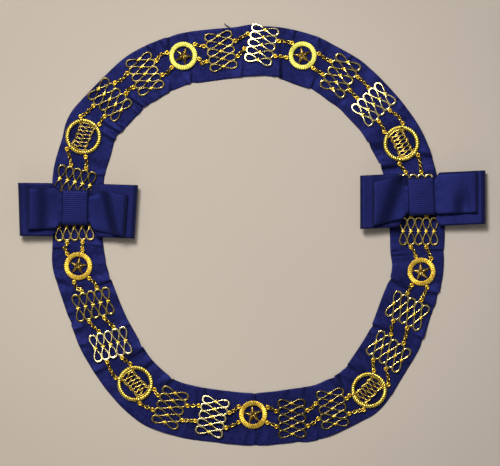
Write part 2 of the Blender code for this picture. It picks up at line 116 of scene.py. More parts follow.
# folds and creases, from the ribbon's edge inwards: two ends, how far the lip stands up, the width of its
# steep side and of its gentle side
Fold = namedtuple("Fold", "x1 y1 x2 y2 lift steep gentle")
FOLDS = [Fold(*row) for row in (
    # back of the neck, clockwise
    (28.5, 168, 27, 198, 2.4, 4.5, 9), (-12.5, 168, -11.5, 196, 1.2, 2.5, 7),
    (61, 156, 67, 172, 1.2, 2.5, 9), (71, 214, 71, 197, 0.9, 2.5, 7), (80, 152, 95, 140, 0.5, 3, 7),
    (104, 133, 113, 121, 1.3, 3, 7), (128, 99, 143, 96, 2.4, 6, 9), (136, 74, 160, 77, 2.4, 5, 9),
    (193, 86, 177, 91, 2, 4, 10), (139, 62, 150, 66, 1, 3, 7),
    # right side
    (207, -15, 187, -15, 1.2, 2.4, 9), (148, -21, 170, -20, 0.9, 2.4, 7),
    (146, -44, 172, -56, 3, 5.5, 10), (204, -62, 184, -60, 1.8, 4, 10), (129, -95, 148, -101, 2, 4, 9),
    (185, -112, 169, -101, 1.9, 3.5, 9), (103, -137, 120, -148, 2.2, 5, 9),
    (94, -149, 107, -159, 1.4, 4, 7), (88, -150, 97, -168, 3, 7, 8),
    # front
    (2, -168, 2, -186, 1, 2.5, 10), (2, -227, 2, -214, 0.8, 3, 10), (-53, -163, -51, -179, 1.4, 3.5, 9),
    (-86, -153, -104, -164, 2, 4.5, 8), (-117, -121, -138, -132, 2.8, 5, 9),
    (-132, -95, -146, -103, 1, 4, 9), (-171, -148, -155, -140, 1.4, 4.5, 10),
    # left side
    (-193, -102, -177, -96, 1.3, 4, 9), (-151, -47.5, -171, -53.5, 2, 3.2, 9),
    (-214, -45, -194, -52, 2, 5, 9), (-216, -13.5, -201, -13, 1.2, 2.2, 8),
    (-184, -118, -172, -116, 0.8, 4, 9), (-111, -137, -122, -145, 0.8, 4, 9),
    (-145, 101, -162, 113, 2.4, 5, 8), (-143, 112, -165, 126, 2.2, 4, 7),
    (-123, 130, -131, 141, 1.2, 4, 7), (-115, 137, -133, 151, 2.4, 3.5, 8),
    (-114, 205, -104, 195, 1, 3, 8), (-92, 214, -91, 194, 1.4, 2.5, 8), (-90, 153, -88, 168, 0.9, 3, 8),
    (-66.5, 162, -67.5, 180, 1.1, 2.4, 7),
)]

# small steps of the ribbon's edge: a place near it, the edge, how far out it steps, and the length over which
# it gets there and goes back
INNER, OUTER = 1, -1
Step = namedtuple("Step", "x y side out before after", defaults=(0.5, 10))
STEPS = [Step(*row) for row in (
    (26.3, 177.2, INNER, -1.3, 0.5, 12), (61.8, 157.9, INNER, -1), (129.2, 103.8, INNER, -1.2),
    (139.2, 78.8, INNER, -1.3), (148.2, -46.2, INNER, -1.3), (130.2, -97.2, INNER, -1.3),
    (102.2, -140.2, INNER, -1), (87.6, -151.7, INNER, -1.3), (2.6, -170.5, INNER, -0.6, 6, 6),
    (-86.6, -155, INNER, -1.2), (-121, -121.6, INNER, -1.3), (-153.8, -48.2, INNER, -1.2),
    (-148.9, 107.3, INNER, -1.3), (-122.1, 140.7, INNER, -1.2), (-66.2, 164.3, INNER, -0.9),
    (-89, 154, INNER, -0.8, 0.5, 8), (202.6, -62.5, OUTER, -1.2), (-200.5, -98.2, OUTER, -0.9),
    (-92, 211.6, OUTER, -0.7), (-1.5, 225, OUTER, 1.9, 18, 0.5), (183, -111, OUTER, -0.9, 0.5, 8),
    (2, -226, OUTER, -0.9, 5, 5),
)]

# ------ curves
def unit(vectors):
    return vectors / np.linalg.norm(vectors, axis=-1, keepdims=True)


def smooth_step(t):
    t = np.clip(t, 0, 1)
    return t * t * (3.0 - 2.0 * t)


def turns(count, offset=0):
    """Angles of even steps round a circle."""
    return math.tau * (np.arange(count) + offset) / count


def polar(radius, turn, z):
    """Points round the z axis."""
    return np.stack(np.broadcast_arrays(radius * np.cos(turn), radius * np.sin(turn), z), -1)


def spline(points, steps, closed=False):
    """Catmull-Rom curve through a list of points."""
    points = np.asarray(points, float)
    if closed:
        padded = np.vstack([points[-1:], points, points[:2]])
    else:
        padded = np.vstack([2 * points[0] - points[1], points, 2 * points[-1] - points[-2]])
    t = (np.arange(steps) / steps)[:, None]
    a, b, c, d = (padded[k:len(padded) - 3 + k, None] for k in range(4))
    bend, twist = 2 * a - 5 * b + 4 * c - d, 3 * b - a - 3 * c + d
    curve = 0.5 * (2 * b + (c - a) * t + bend * t ** 2 + twist * t ** 3)
    curve = curve.reshape(-1, points.shape[1])
    return curve if closed else np.vstack([curve, points[-1:]])


def running_length(path):
    """Length along a path, up to each of its points."""
    return np.concatenate([[0], np.cumsum(np.linalg.norm(np.diff(path, axis=0), axis=1))])


def points_at(path, lengths, at):
    """A path's points where its running length has the values of at."""
    return np.stack([np.interp(at, lengths, column) for column in path.T], -1)


def beside_line(line, x, y, towards):
    """Places' share of the length of a line x1, y1, x2, y2, and distance off it to the side of towards."""
    start = np.array(line[:2]) * MM
    run = np.array(line[2:4]) * MM - start
    length = np.linalg.norm(run)
    run /= length
    across = np.array((-run[1], run[0]))
    if across @ towards < 0:
        across = -across
    dx, dy = x - start[0], y - start[1]
    return (dx * run[0] + dy * run[1]) / length, dx * across[0] + dy * across[1]


# ------ meshes
def grid_faces(rows, cols, close_rows=False, close_cols=False):
    i = np.arange(rows if close_rows else rows - 1)[:, None]
    j = np.arange(cols if close_cols else cols - 1)
    after_i, after_j = (i + 1) % rows, (j + 1) % cols
    corners = (i * cols + j, i * cols + after_j, after_i * cols + after_j, after_i * cols + j)
    return np.stack(np.broadcast_arrays(*corners), -1).reshape(-1, 4)


def add_object(name, data):
    obj = bpy.data.objects.new(name, data)
    bpy.context.scene.collection.objects.link(obj)
    return obj


class Shape:
    """Collects grids of points into one mesh; paint is the number of a face's material."""

    def __init__(self):
        self.verts, self.faces, self.smooth, self.paints, self.uvs, self.count = [], [], [], [], [], 0

    def add(self, verts, faces, where=None, smooth=True, uv=None, lap=None, paint=0):
        verts = verts.reshape(-1, 3)
        if where is not None:
            where = np.array(where)
            verts = verts @ where[:3, :3].T + where[:3, 3]
        corner_uv = np.zeros(faces.shape + (2,)) if uv is None else uv.reshape(-1, 2)[faces]
        if lap:  # a face that closes the loop keeps its rows in order
            late = np.ptp(corner_uv[..., 0], axis=1) > lap / 2
            corner_uv[..., 0] += lap * (late[:, None] & (corner_uv[..., 0] < lap / 2))
        self.verts.append(verts)
        self.faces += (faces + self.count).tolist()
        self.smooth += np.broadcast_to(smooth, len(faces)).tolist()
        self.paints += np.broadcast_to(paint, len(faces)).tolist()
        self.uvs.append(corner_uv.reshape(-1, 2))
        self.count += len(verts)

    def cap(self, faces, first, smooth=False, paint=0):
        """Extra faces between points already added, counted from the first of them."""
        self.faces += [[first + v for v in face] for face in faces]
        self.smooth += [smooth] * len(faces)
        self.paints += [paint] * len(faces)
        self.uvs.append(np.zeros((sum(len(face) for face in faces), 2)))

    def make(self, name, slot, *materials, node=None, shade=None):
        """The finished piece, which rides on the body and may stand for a CAD node."""
        mesh = bpy.data.meshes.new(name)
        mesh.from_pydata(np.concatenate(self.verts).tolist(), [], self.faces)
        mesh.polygons.foreach_set("use_smooth", self.smooth)
        for material in materials:
            mesh.materials.append(material)
        mesh.polygons.foreach_set("material_index", self.paints)
        if shade is not None:
            values = mesh.attributes.new("shade", "FLOAT", "POINT")
            values.data.foreach_set("value", np.pad(shade, (0, self.count - len(shade))))
        layer = mesh.uv_layers.new(name="cloth")
        layer.data.foreach_set("uv", np.concatenate(self.uvs).ravel())
        mesh.validate()
        mesh.update()
        piece = add_object(name, mesh)
        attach(piece, "root")
        if node:
            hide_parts(node)
        return piece


def round_profile(width, height, count, flatness=2):
    """Section of a wire: a circle, pressed flat on top and underneath by a flatness above 2."""
    section = polar(1, turns(count, 0.5), 0)[:, :2]
    return np.sign(section) * np.abs(section) ** (2.0 / flatness) * (width, height) / 2


def add_sweep(shape, path, profile, closed=True, where=None, up=(0, 0, 1), side_paint=None, paint=0):
    """Carries a section along a path, with its second axis near up.

    A paint for its sides leaves a flat top, which is the section's first strip, and two bevels.
    """
    along = unit(np.roll(path, -1, 0) - np.roll(path, 1, 0) if closed else np.gradient(path, axis=0))
    side = unit(np.cross(along, up))
    rise = np.cross(side, along)
    first, sides = shape.count, np.shape(profile)[-2]
    verts = path[:, None] + side[:, None] * profile[..., :1] + rise[:, None] * profile[..., 1:]
    faces = grid_faces(len(path), sides, closed, True)
    if side_paint is None:
        shape.add(verts, faces, where, paint=paint)
    else:
        strip = np.arange(len(faces)) % sides
        shape.add(verts, faces, where, strip > 0, paint=np.where((strip + 2) % sides < 5, paint, side_paint))
    if not closed:
        last = (len(path) - 1) * sides
        shape.cap([range(sides - 1, -1, -1), range(last, last + sides)], first, paint=paint)


def add_peak(shape, rings, tip, where, smooth, paint=0):
    """Rings of points, closed over by a fan of faces to a tip."""
    count, sides = np.shape(rings)[:2]
    first, last = shape.count, (count - 1) * sides
    shape.add(np.vstack([*rings, tip]), grid_faces(count, sides, close_cols=True), where, smooth, paint=paint)
    shape.cap([[last + j, last + (j + 1) % sides, last + sides] for j in range(sides)], first, smooth, paint)


DOME_RINGS = 3


def add_dome(shape, centre, radius, height, sides, where, paint=0):
    """A low bead with a flat base."""
    leans = 0.5 * math.pi * np.arange(DOME_RINGS) / DOME_RINGS
    rings = [polar(radius * math.cos(lean), turns(sides, 0.5 * (k % 2)), height * math.sin(lean)) + centre
             for k, lean in enumerate(leans)]
    add_peak(shape, rings, np.add(centre, (0, 0, height)), where, True, paint)


# ------ materials
def feed(tree, node, *first, **named):
    """Gives a node's first inputs in order and others by name: a value, or an output to link.

    Any other name is one of the node's settings. The node's outputs come back.
    """
    inputs = dict(enumerate(first))
    for key, value in named.items():
        name = key.replace("_", " ")
        if name in node.inputs:
            inputs[name] = value
        else:
            setattr(node, key, value)
    for key, value in inputs.items():
        if isinstance(value, bpy.types.NodeSocket):
            tree.links.new(value, node.inputs[key])
        else:
            node.inputs[key].default_value = value
    return node.outputs


def add_node(tree, kind, *first, **named):
    return feed(tree, tree.nodes.new("ShaderNode" + kind), *first, **named)


def noise(tree, place, scale, detail):
    return add_node(tree, "TexNoise", Vector=place, Scale=scale, Detail=detail)["Fac"]


def colour_ramp(tree, source, *stops):
    ramp = tree.nodes.new("ShaderNodeValToRGB")
    elements = ramp.color_ramp.elements
    while len(elements) < len(stops):
        elements.new(0.5)
    for element, (position, colour) in zip(elements, stops):
        element.position = position
        element.color = (*colour, 1)
    return feed(tree, ramp, source)["Color"]


def scaled(tree, source, low, high):
    """Maps a texture's 0 to 1 onto low to high."""
    return add_node(tree, "MapRange", source, To_Min=low, To_Max=high)["Result"]


def bumps(tree, source, strength):
    return add_node(tree, "Bump", Height=source, Strength=strength, Distance=0.1 * MM)["Normal"]


def mixed(tree, first, second, share):
    return add_node(tree, "Mix", data_type="FLOAT", Factor=share, A=first, B=second)["Result"]


def node_material(name, colour, roughness, metallic=0):
    material = bpy.data.materials.new(name)
    material.use_nodes = True
    tree = material.node_tree
    shader = tree.nodes["Principled BSDF"]
    feed(tree, shader, Base_Color=(*colour, 1), Roughness=roughness, Metallic=metallic)
    return material, tree, shader, add_node(tree, "TexCoord")["Object"]


def ribbon_material(name, deep, bright, roughness, dullest, glossiest):
    """Blue grosgrain: threads run across the ribbon, with an uneven blue gloss."""
    material, tree, shader, place = node_material(name, bright, roughness)
    cloth = add_node(tree, "UVMap", uv_map="cloth")["UV"]
    stretched = add_node(tree, "Mapping", Vector=cloth, Scale=(900, 45, 1))["Vector"]
    streaks = noise(tree, stretched, 1, 3)
    blend = mixed(tree, streaks, noise(tree, place, 38, 2), 0.45)
    blend = mixed(tree, blend, noise(tree, place, 330, 1), 0.45)
    # painted shade: the cloth's colour and gloss are darkened where the metal lies over it
    painted_shade = add_node(tree, "Attribute", attribute_name="shade")["Fac"]
    blend = add_node(tree, "Math", painted_shade, -0.11, blend, operation="MULTIPLY_ADD")["Value"]
    gloss = add_node(tree, "MapRange", blend, From_Min=0.34, From_Max=0.62, To_Min=dullest, To_Max=glossiest)
    feed(tree, shader, Specular_Tint=(0.12, 0.15, 1, 1), Sheen_Weight=0.05, Sheen_Roughness=0.45,
         Sheen_Tint=(0.25, 0.28, 1, 1), Base_Color=colour_ramp(tree, blend, (0.34, deep), (0.62, bright)),
         Specular_IOR_Level=gloss["Result"],
         Roughness=scaled(tree, streaks, roughness - 0.05, roughness + 0.07),
         Normal=bumps(tree, streaks, 0.5))
    return material


def gilt_material(name, deep, bright, smoothest, roughest, grain):
    """Gilt metal: thin plating with slightly darker, duller patches."""
    material, tree, shader, place = node_material(name, bright, smoothest, 1)
    patches = noise(tree, place, 260, 3)
    feed(tree, shader, Base_Color=colour_ramp(tree, patches, (0.34, deep), (0.58, bright)),
         Roughness=scaled(tree, patches, smoothest, roughest),
         Normal=bumps(tree, noise(tree, place, grain, 2), 0.35))
    return material


def floor_material():
    """Pale matt floor with painted shade: a little deeper towards the right and away from the middle."""
    material, tree, shader, place = node_material("pale_floor", (0.52, 0.46, 0.4), 0.9)
    # painted shade, darker towards the right
    side = add_node(tree, "SeparateXYZ", place)["X"]
    side = add_node(tree, "MapRange", side, From_Min=-0.3, From_Max=0.3)["Result"]
    blend = mixed(tree, side, noise(tree, place, 9, 4), 0.25)
    # painted shade, darker away from the middle
    far = add_node(tree, "VectorMath", place, operation="LENGTH")["Value"]
    tone = colour_ramp(tree, blend, (0.15, (0.612, 0.546, 0.472)), (0.85, (0.566, 0.508, 0.455)))
    fade = colour_ramp(tree, far, (0.22, (1, 1, 1)), (0.34, (0.9, 0.9, 0.9)))
    shade = add_node(tree, "VectorMath", tone, fade, operation="MULTIPLY")["Vector"]
    feed(tree, shader, Specular_IOR_Level=0.1, Base_Color=shade)
    return material


RIBBON_CLOTH = ribbon_material("royal_blue_ribbon", (0.0045, 0.0060, 0.026), (0.0090, 0.0105, 0.052),
                               0.52, 0.38, 0.98)
BOW_CLOTH = ribbon_material("royal_blue_bow", (0.0047, 0.0063, 0.025), (0.0070, 0.0088, 0.038),
                            0.52, 0.66, 0.88)
# deep and bright colour, roughness of the smoothest and the dullest patches, fineness of the grain
GILT = {name: gilt_material(f"{name}_gilt", *look) for name, *look in (
    ("polished", (0.6, 0.44, 0.12), (0.92, 0.76, 0.29), 0.07, 0.13, 1500),
    ("sparkling", (0.86, 0.5, 0.04), (1, 0.7, 0.1), 0.34, 0.46, 2200),
    ("eyelet", (0.8, 0.46, 0.03), (1, 0.72, 0.09), 0.24, 0.38, 2200),
    # painted highlight: a paler, brighter copy of the polished gilt, for the panels that glint
    ("painted_glint", (0.76, 0.6, 0.24), (1, 0.88, 0.46), 0.12, 0.2, 1500),
    # painted shade: a darker, slightly rougher copy of the polished gilt, for panels that look darker
    ("dull", (0.31, 0.225, 0.05), (0.6, 0.46, 0.15), 0.17, 0.27, 1500),
    # painted shade: the darkest copy of the polished gilt
    ("darkest_painted_shade", (0.15, 0.11, 0.032), (0.36, 0.285, 0.1), 0.13, 0.22, 1500),
    # painted shade on the knot wires' sides; also the gilt of the beads in the knots' and stars' eyelets
    ("painted_shade", (0.21, 0.135, 0.02), (0.44, 0.31, 0.06), 0.2, 0.32, 1800),
    ("chain", (0.23, 0.14, 0.018), (0.62, 0.46, 0.1), 0.14, 0.24, 2200),
    ("bright", (0.92, 0.65, 0.07), (1, 0.84, 0.17), 0.27, 0.42, 2200),
    ("scroll", (0.38, 0.25, 0.04), (0.78, 0.58, 0.15), 0.2, 0.32, 2200),
    # painted shade: a darker copy of the scroll gilt, for the fourth roundel's scroll
    ("painted_shade_scroll", (0.22, 0.15, 0.03), (0.5, 0.37, 0.12), 0.2, 0.32, 2200),
    ("frosted", (0.78, 0.47, 0.05), (0.97, 0.7, 0.11), 0.34, 0.48, 1600),
    # painted light: a paler, brighter copy of the frosted gilt, for the stars at the back of the neck
    ("painted_lit_frosted", (1, 0.9, 0.2), (1, 0.97, 0.22), 0.42, 0.54, 1600),
    # painted shade: a dark copy of the gilt, for the cord's grooves, the star's faces and the roundel's beads
    ("deep_painted_shade", (0.2, 0.11, 0.02), (0.42, 0.26, 0.06), 0.2, 0.32, 1800),
)}


# ------ collar ribbon
def ribbon_spine():
    """Centre, inward direction, half width and running length of the ribbon's rows, and its length."""
    samples = spline(np.array(RIBBON_SECTIONS) * (1, 1, 0.5) * MM, 24, closed=True)
    loop = np.hstack([samples, unit((np.roll(samples, -3, 0) - np.roll(samples, 2, 0))[:, :2])])
    loop = np.vstack([loop, loop[:1]])
    lengths = running_length(loop[:, :3])
    total = lengths[-1]
    count = ROWS_PER_RIB * round(total / RIB_PITCH)
    at = np.arange(count) * total / count
    values = points_at(loop, lengths, at)
    along = unit(values[:, 3:])
    return values[:, :2], np.stack([along[:, 1], -along[:, 0]], -1), values[:, 2], at, total


def small_creases(centre, inward, half):
    """Puckers along both edges, between the folds."""
    for _ in range(SMALL_CREASES):
        row, side = RNG.integers(len(centre)), RNG.choice((-1, 1))
        start = (centre[row] + inward[row] * side * half[row]) / MM
        along = np.array((inward[row, 1], -inward[row, 0]))
        end = start - inward[row] * side * RNG.uniform(9, 20) + along * RNG.uniform(-5, 5)
        yield Fold(*start, *end, RNG.uniform(0.3, 0.9), RNG.uniform(2, 4), RNG.uniform(5, 8))


def fold_height(folds, x, y):
    """Height that the folds add, and take away behind their lips."""
    height = 0.0
    for fold in folds:
        t, d = beside_line(fold, x, y, AWAY_FROM_LIGHT)
        fade = (1.0 - smooth_step((t - 0.25) / 0.85)) * smooth_step((t + 0.9) / 0.3)
        steep, gentle = fold.steep * MM, fold.gentle * MM
        rising = smooth_step(1.0 + d / gentle)
        falling = 1.0 - (1.0 + TROUGH) * smooth_step(d / steep)
        back = TROUGH * smooth_step((d - steep) / (0.9 * gentle))
        height = height + fold.lift * MM * fade * np.where(d < 0, rising, falling + back)
    return height


def edge_steps(centre, at, total, lane):
    """How far each row's edge stands out from its plain line."""
    shift = 0.0
    for step in STEPS:
        where = at[np.argmin(np.linalg.norm(centre - np.array((step.x, step.y)) * MM, axis=1))]
        d = (at - where + total / 2) % total - total / 2
        rise, fall = smooth_step(1 + d / (step.before * MM)), smooth_step(d / (step.after * MM))
        ramp = np.where(d < 0, rise, 1 - fall)
        near_edge = smooth_step((lane * step.side - 0.55) / 0.45)
        shift = shift + step.out * MM * step.side * ramp[:, None] * near_edge
    return shift


def gaps_to_plaques(x, y):
    """For each plaque, how far outside its outline each place is, and how strongly the plaque shades."""
    for plaque in PLAQUES:
        turn = math.radians(plaque.heading)
        dx, dy = x - plaque.x * MM, y - plaque.y * MM
        along = np.abs(dx * math.cos(turn) + dy * math.sin(turn))
        across = np.abs(dy * math.cos(turn) - dx * math.sin(turn))
        if plaque.kind == KNOT:
            gap = np.maximum(along - KNOT_REACH[0], across - KNOT_REACH[1])
        else:
            gap = np.hypot(along, across) - RING_REACH[plaque.kind]
        yield gap, SHADING[plaque.kind]


def clear_of_chain(x, y, lane):
    """0 under the plaques and chains, 1 well away from them."""
    clear = smooth_step((np.abs(lane) - 0.44) / 0.16)
    for gap, _ in gaps_to_plaques(x, y):
        clear = clear * smooth_step((gap - 0.5 * MM) / (4.5 * MM))
    return clear


def painted_shade_under_metal(x, y, lane):
    """Painted shade: how far the cloth is darkened under the plaques, and less so along the chains."""
    shade = CHAIN_SHADING * (1 - smooth_step((np.abs(lane) - 0.35) / 0.3))
    for gap, strength in gaps_to_plaques(x, y):
        shade = np.maximum(shade, strength * smooth_step(-(gap - 1 * MM) / (4 * MM)))
    return shade


def rib_wave(rows):
    """Up and down once for each cross rib."""
    return np.cos(math.tau * np.arange(rows) / ROWS_PER_RIB)[:, None]


def make_ribbon():
    centre, inward, half, at, total = ribbon_spine()
    edges = np.array(EDGE_LANES)
    lane = np.concatenate([-edges, np.linspace(-0.86, 0.86, INNER_LANES), edges[::-1]])
    under_lane = np.linspace(0.985, -0.985, UNDER_LANES)
    lanes = np.concatenate([lane, under_lane])
    across = half[:, None] * lanes
    reach = across + edge_steps(centre, at, total, lanes)
    all_x, all_y = (centre[:, k:k + 1] + inward[:, k:k + 1] * reach for k in (0, 1))
    x, y, out = all_x[:, :len(lane)], all_y[:, :len(lane)], np.abs(lane)
    # gentle billows, freer towards the edges
    billow = 0.0
    for waves, size in BILLOWS:
        shift, lean = RNG.uniform(0, math.tau), RNG.uniform(-1.6, 1.6)
        billow = billow + size * MM * np.sin(waves * (math.tau * at[:, None] / total) + shift + lean * lane)
    folds = FOLDS + list(small_creases(centre, inward, half))
    height = billow * (0.5 + 0.5 * out ** 2) + fold_height(folds, x, y)
    lap = smooth_step((x / MM - LAP[0]) / 1.5) * (1 - smooth_step((x / MM - LAP[1]) / 2.5)) * (y > 0)
    height = height + LAP_LIFT * lap
    at_edge = smooth_step((out - 0.8) / 0.1)
    cap = PRESSED_LIFT + np.maximum(FREE_LIFT * clear_of_chain(x, y, lane), EDGE_LIFT * at_edge)
    height = np.where(height > 0, cap * np.tanh(height / cap), DIP * np.tanh(height / DIP))
    rib = RIB_DEPTH * (0.5 + 0.5 * rib_wave(len(at)))
    round_off = np.where(out > 0.995, -0.5 * MM, np.where(out > 0.98, -0.06 * MM, 0))
    top = RIBBON_THICK + height + rib * (out < 0.95) + round_off
    under = np.clip([np.interp(under_lane, lane, row) for row in height], 0, None) * np.abs(under_lane) ** 4
    shape = Shape()
    shape.add(np.stack([all_x, all_y, np.hstack([top, under])], -1),
              grid_faces(len(at), len(lanes), True, True),
              uv=np.stack(np.broadcast_arrays(at[:, None], across), -1), lap=total)
    return shape, painted_shade_under_metal(all_x, all_y, lanes).ravel()


ribbon_shape, ribbon_shade = make_ribbon()
thread = spline(np.array(LOOSE_THREAD) * MM, 5)
add_sweep(ribbon_shape, thread, round_profile(1.1 * MM, 0.9 * MM, 6, 2.6), closed=False)
ribbon = ribbon_shape.make("ribbon_band", "ribbon_cloth", RIBBON_CLOTH, node="collar_ribbon",
                           shade=ribbon_shade)

# ------ wire and castings of the plaques
WIRE_HEIGHT = 1.15 * MM
WIRE_LEVEL = 3.25 * MM
EIGHTS = 5
EIGHT_PITCH = 8.3 * MM
# a quarter of a figure-eight from its crossing to its tip: centre-line and the wire's width there
QUARTER = np.array(((0, 0, 1.55), (2.6, 1.25, 1.5), (5.2, 2.55, 1.45), (7.8, 3.45, 1.5), (10.2, 3.72, 1.65),
                    (12.4, 3.3, 1.9), (13.85, 2.1, 2.1), (14.3, 0.75, 2.15))) * MM
# the wire's section in halves of its width and height: a narrow flat top, round shoulders and plain sides
WIRE_SECTION = np.array((
    (0.42, 1), (-0.42, 1), (-0.62, 0.965), (-0.82, 0.76), (-0.96, 0.36), (-1, -0.1), (-1, -0.7),
    (-0.7, -1), (0.7, -1), (1, -0.7), (1, -0.1), (0.96, 0.36), (0.82, 0.76), (0.62, 0.965)))
CROSS_LIFT = 0.28 * MM  # one strand of a crossing over, the other under
UNEVEN = 1.0  # how far an eight may be tipped in its panel, in degrees
# some panels are bent: how far the surface turns over this reach, along and across, in degrees
PANEL_REACH = (14 * MM, 17 * MM)
KNOT_BENDS = {2: (-2, 0), 4: (-2.2, 0), 11: (2, -2), 13: (1, 2.2)}
KNOT_GILTS = {"P": "polished", "F": "painted_glint", "D": "dull", "T": "darkest_painted_shade"}
KNOTS_IN_TURN = "TFPFPDPPTTFDFDDTTT"  # the gilt of each knot panel: F is painted highlight, D and T are painted shade
SPARK_POINTS = 4
SPARK_RADIUS = 2.5 * MM
SPARK_NOTCH = 0.32 * SPARK_RADIUS
SPARK_HEIGHT = 0.5 * MM

CORNERS = ((-1, -1), (-1, 1), (1, -1), (1, 1))
EYELET_RADIUS = 1.75 * MM  # centre-line
EYELET_WIRE = 1.6 * MM
BEAD_RADIUS, BEAD_HEIGHT, BEAD_SINK = 1.1 * MM, 0.7 * MM, 0.6 * MM  # of the bead in an eyelet
EYELETS = {  # centres: along and across the plaque, and up
    KNOT: (17 * MM, 8.3 * MM, WIRE_LEVEL - 0.15 * MM),
    STAR: (15.6 * MM, 8.4 * MM, PLAQUE_BASE + 0.8 * MM),
    ROUNDEL: (18.9 * MM, 10.9 * MM, PLAQUE_BASE + 0.8 * MM),
}


def figure_eight():
    """Centre-line of one eight and the wire's width along it."""
    up = QUARTER[1:]
    path = spline(np.vstack([QUARTER[:1], up, up[::-1] * (1, -1, 1), QUARTER[:1], up * (-1, 1, 1),
                             up[::-1] * (-1, -1, 1)]), 3, closed=True)
    over = np.exp(-(np.hypot(path[:, 0], path[:, 1]) / (2.2 * MM)) ** 2)
    half = len(path) // 2
    sign = np.where((np.arange(len(path)) + half // 2) % len(path) < half, 1, -1)
    return np.column_stack([path[:, :2], CROSS_LIFT * over * sign]), path[:, 2]


def star_rim(points, tip, notch, z, spin=0):
    """A star's corners, tips and notches in turn."""
    return polar(np.where(np.arange(2 * points) % 2 == 0, tip, notch), spin + turns(2 * points), z)


def add_spark(shape, centre, where):
    """A small raised star over a crossing."""
    low = star_rim(SPARK_POINTS, SPARK_RADIUS, SPARK_NOTCH, -0.5 * MM) + centre
    tip = np.add(centre, (0, 0, SPARK_HEIGHT))
    add_peak(shape, (low, low + (0, 0, 0.85 * MM)), tip, where, False, paint=1)


def add_eyelets(shape, kind, where, paint, bead_paint, rise=0):
    along, across, level = EYELETS[kind]
    wire = round_profile(EYELET_WIRE, EYELET_WIRE, 6)
    for sx, sy in CORNERS:
        centre = np.array((sx * along, sy * across, level + rise))
        add_sweep(shape, polar(EYELET_RADIUS, turns(16), 0) + centre, wire, where=where, paint=paint)
        add_dome(shape, centre - (0, 0, BEAD_SINK), BEAD_RADIUS, BEAD_HEIGHT, 8, where, bead_paint)


def knot_panel(where, bend):
    shape = Shape()
    eight, width = figure_eight()
    profile = 0.5 * WIRE_SECTION * np.column_stack([width, np.full(len(width), WIRE_HEIGHT)])[:, None]
    turn = np.radians(bend) / PANEL_REACH
    rest = 0.5 * np.clip(-turn, 0, None) @ np.square(PANEL_REACH)  # keeps a domed panel off the ribbon
    for k in range(EIGHTS):
        across = (k - (EIGHTS - 1) / 2) * EIGHT_PITCH
        tip = np.radians(RNG.uniform(-UNEVEN, UNEVEN, 2))  # no two eights lie quite alike
        path = eight + (0, across, WIRE_LEVEL + rest)
        slope = path[:, :2] * turn + tip
        path[:, 2] += 0.5 * np.square(path[:, :2]) @ turn + (path[:, :2] - (0, across)) @ tip
        upwards = np.column_stack([-slope, np.ones(len(path))])
        # paint 3, the dark gilt on the wires' sides, is painted shade
        add_sweep(shape, path, profile, where=where, up=upwards, side_paint=3)
        level = WIRE_LEVEL + rest + 0.5 * turn[1] * across ** 2 + 0.5 * WIRE_HEIGHT
        add_spark(shape, (0, across, level), where)
    add_eyelets(shape, KNOT, where, 2, 3, rest)
    return shape


# ------ star medallion
RING_OUTER = 15.3 * MM
RING_INNER = 9.9 * MM
FLUTES = 40  # radial ribs round the ring
FLUTE_DEPTH = 0.5 * MM
FLUTE_TILT = 0.35 * MM
FLUTE_RNG = np.random.default_rng(11)
SCALLOP = 0.34 * MM
# the ring's section: share of the way from its outer edge to its inner edge, and drop from the crown
RING_SHARE = np.array((0, 0, 0.02, 0.08, 0.22, 0.5, 0.78, 0.92, 0.98, 1, 1))
RING_DROP = np.array((1.8, 0.55, 0.22, 0.06, 0.01, 0, 0.01, 0.06, 0.22, 0.55, 1.8)) * MM

STAR_TIP, STAR_NOTCH = RING_INNER + 0.5 * MM, 3.9 * MM
STAR_UNDER, STAR_EDGE, STAR_CROWN = (PLAQUE_BASE + level * MM for level in (0.2, 0.7, 2.7))


def star_ring(where):
    """A broad ring of radial ribs with rounded ends."""
    shape = Shape()
    turn = turns(8 * FLUTES)[:, None]
    ridge = (0.5 + 0.5 * np.cos(FLUTES * turn)) ** 0.7
    tilt = FLUTE_TILT * np.repeat(FLUTE_RNG.uniform(-1, 1, FLUTES), 8)[:, None]
    outer, inner = RING_OUTER - SCALLOP * (1 - ridge), RING_INNER + SCALLOP * (1 - ridge)
    crown = PLAQUE_BASE + PLAQUE_THICK - FLUTE_DEPTH * (1 - ridge)
    height = np.maximum(crown + tilt * ridge * (RING_SHARE - 0.5) - RING_DROP, PLAQUE_BASE)
    shape.add(polar(outer + (inner - outer) * RING_SHARE, turn, height),
              grid_faces(len(turn), len(RING_SHARE), True, True), where)
    add_eyelets(shape, STAR, where, 1, 2)
    return shape


def five_point_star(where, spin):
    """Faceted star: a bright ridge runs down each point from a raised middle."""
    shape = Shape()
    crown = np.array((0, 0, STAR_CROWN))
    under, rim = (star_rim(5, STAR_TIP, STAR_NOTCH, z, math.radians(spin)) for z in (STAR_UNDER, STAR_EDGE))
    add_peak(shape, (under, rim), crown, where, False)
    shape.cap([range(9, -1, -1)], 0)
    for tip in rim[::2]:
        ridge = crown + (tip - crown) * np.linspace(0.03, 0.97, 4)[:, None]
        add_sweep(shape, ridge, round_profile(0.8 * MM, 0.6 * MM, 8), False, where, paint=1)
    return shape


